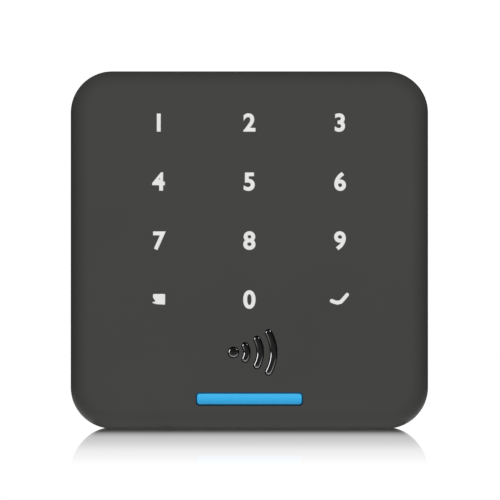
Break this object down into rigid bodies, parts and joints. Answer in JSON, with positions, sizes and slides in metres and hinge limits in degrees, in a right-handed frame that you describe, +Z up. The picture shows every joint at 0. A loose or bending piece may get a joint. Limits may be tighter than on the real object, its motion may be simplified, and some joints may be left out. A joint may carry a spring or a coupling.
{
  "type": "keypad access reader",
  "caption": "Square wall-mounted access reader with a touch keypad of lit digits, a card symbol, a light bar, and a hang-on steel plate fixed by a security screw.",
  "frame": {"origin": "centre of the face that meets the wall, in the middle of the plate's cable window", "axes": "+X right seen from the front, +Z up, +Y into the wall; the keypad faces -Y"},
  "size_m": [0.086, 0.022, 0.086],
  "materials": {
    "cover_plastic": "dark grey moulded plastic, fine satin grain",
    "housing_plastic": "near-black moulded plastic, fine spark texture",
    "plate_steel": "zinc-plated pressed steel",
    "screw_steel": "plated steel",
    "legend_white": "backlit white light guide",
    "status_blue": "backlit blue diffuser",
    "symbol_chrome": "black chrome",
    "baffle_white": "white reflective plastic",
    "seal_rubber": "black closed-cell seal",
    "circuit_board": "green solder mask",
    "component_black": "black moulded component body",
    "led_package": "white package with a yellow lens",
    "copper": "copper strip",
    "ferrite": "dark grey ferrite",
    "tinned_steel": "bright tinned steel",
    "capacitor_can": "satin can",
    "contact_gold": "gold-plated spring contacts",
    "nylon": "natural nylon",
    "reset_red": "red plastic"
  },
  "bodies": {
    "wall_bracket": {"wall_plate": "plate_steel", "tab_nut": "screw_steel"},
    "reader": {"rear_housing": "housing_plastic", "wall_gasket": "seal_rubber", "housing_gasket": "seal_rubber", "housing_screw_1": "screw_steel", "housing_screw_2": "screw_steel", "housing_screw_3": "screw_steel", "housing_screw_4": "screw_steel", "front_cover": "cover_plastic", "legend_light_guide": "legend_white", "status_light_bar": "status_blue", "card_symbol_insert": "symbol_chrome", "light_baffle": "baffle_white", "keypad_board": "circuit_board", "keypad_board_screw_1": "screw_steel", "keypad_board_screw_2": "screw_steel", "keypad_board_screw_3": "screw_steel", "keypad_board_screw_4": "screw_steel", "key_led_1": "led_package", "key_led_2": "led_package", "key_led_3": "led_package", "key_led_4": "led_package", "key_led_5": "led_package", "key_led_6": "led_package", "key_led_7": "led_package", "key_led_8": "led_package", "key_led_9": "led_package", "key_led_10": "led_package", "key_led_11": "led_package", "key_led_12": "led_package", "status_led_1": "led_package", "status_led_2": "led_package", "status_led_3": "led_package", "antenna_coil": "copper", "ferrite_sheet": "ferrite", "main_board": "circuit_board", "board_screw_1": "screw_steel", "board_screw_2": "screw_steel", "board_screw_3": "screw_steel", "board_screw_4": "screw_steel", "processor_chip": "component_black", "radio_shield_can": "tinned_steel", "buzzer": "component_black", "poe_transformer": "component_black", "power_inductor": "ferrite", "power_capacitor": "capacitor_can", "board_header": "component_black", "board_socket": "component_black", "ethernet_jack_shield": "tinned_steel", "ethernet_jack_insert": "component_black", "ethernet_jack_contacts": "contact_gold", "tamper_switch": "component_black", "tamper_spring": "screw_steel", "reset_switch": "component_black", "captive_washer": "nylon"},
    "tamper_plunger": {"tamper_plunger": "nylon"},
    "security_screw": {"security_screw": "screw_steel"},
    "reset_button": {"reset_button": "reset_red"}
  },
  "joints": [
    {"name": "reader_lift", "type": "slide", "parent": "wall_bracket", "child": "reader", "axis": [0, 0, 1], "range_m": [0, 0.005]},
    {"name": "tamper_plunger_slide", "type": "slide", "parent": "reader", "child": "tamper_plunger", "axis": [0, 1, 0], "range_m": [0, 0.0015], "deforming": ["tamper_spring"]},
    {"name": "security_screw_turn", "type": "hinge", "parent": "reader", "child": "security_screw", "pos_m": [0, -0.005, -0.0403], "axis": [0, 0, 1], "continuous": true},
    {"name": "reset_button_press", "type": "slide", "parent": "reader", "child": "reset_button", "axis": [0, -1, 0], "range_m": [0, 0.0004], "stiffness_N_per_m": 1500}
  ],
  "couplings": [
    {"joint": "tamper_plunger_slide", "follows": "reader_lift", "ratio": 0.3}
  ]
}
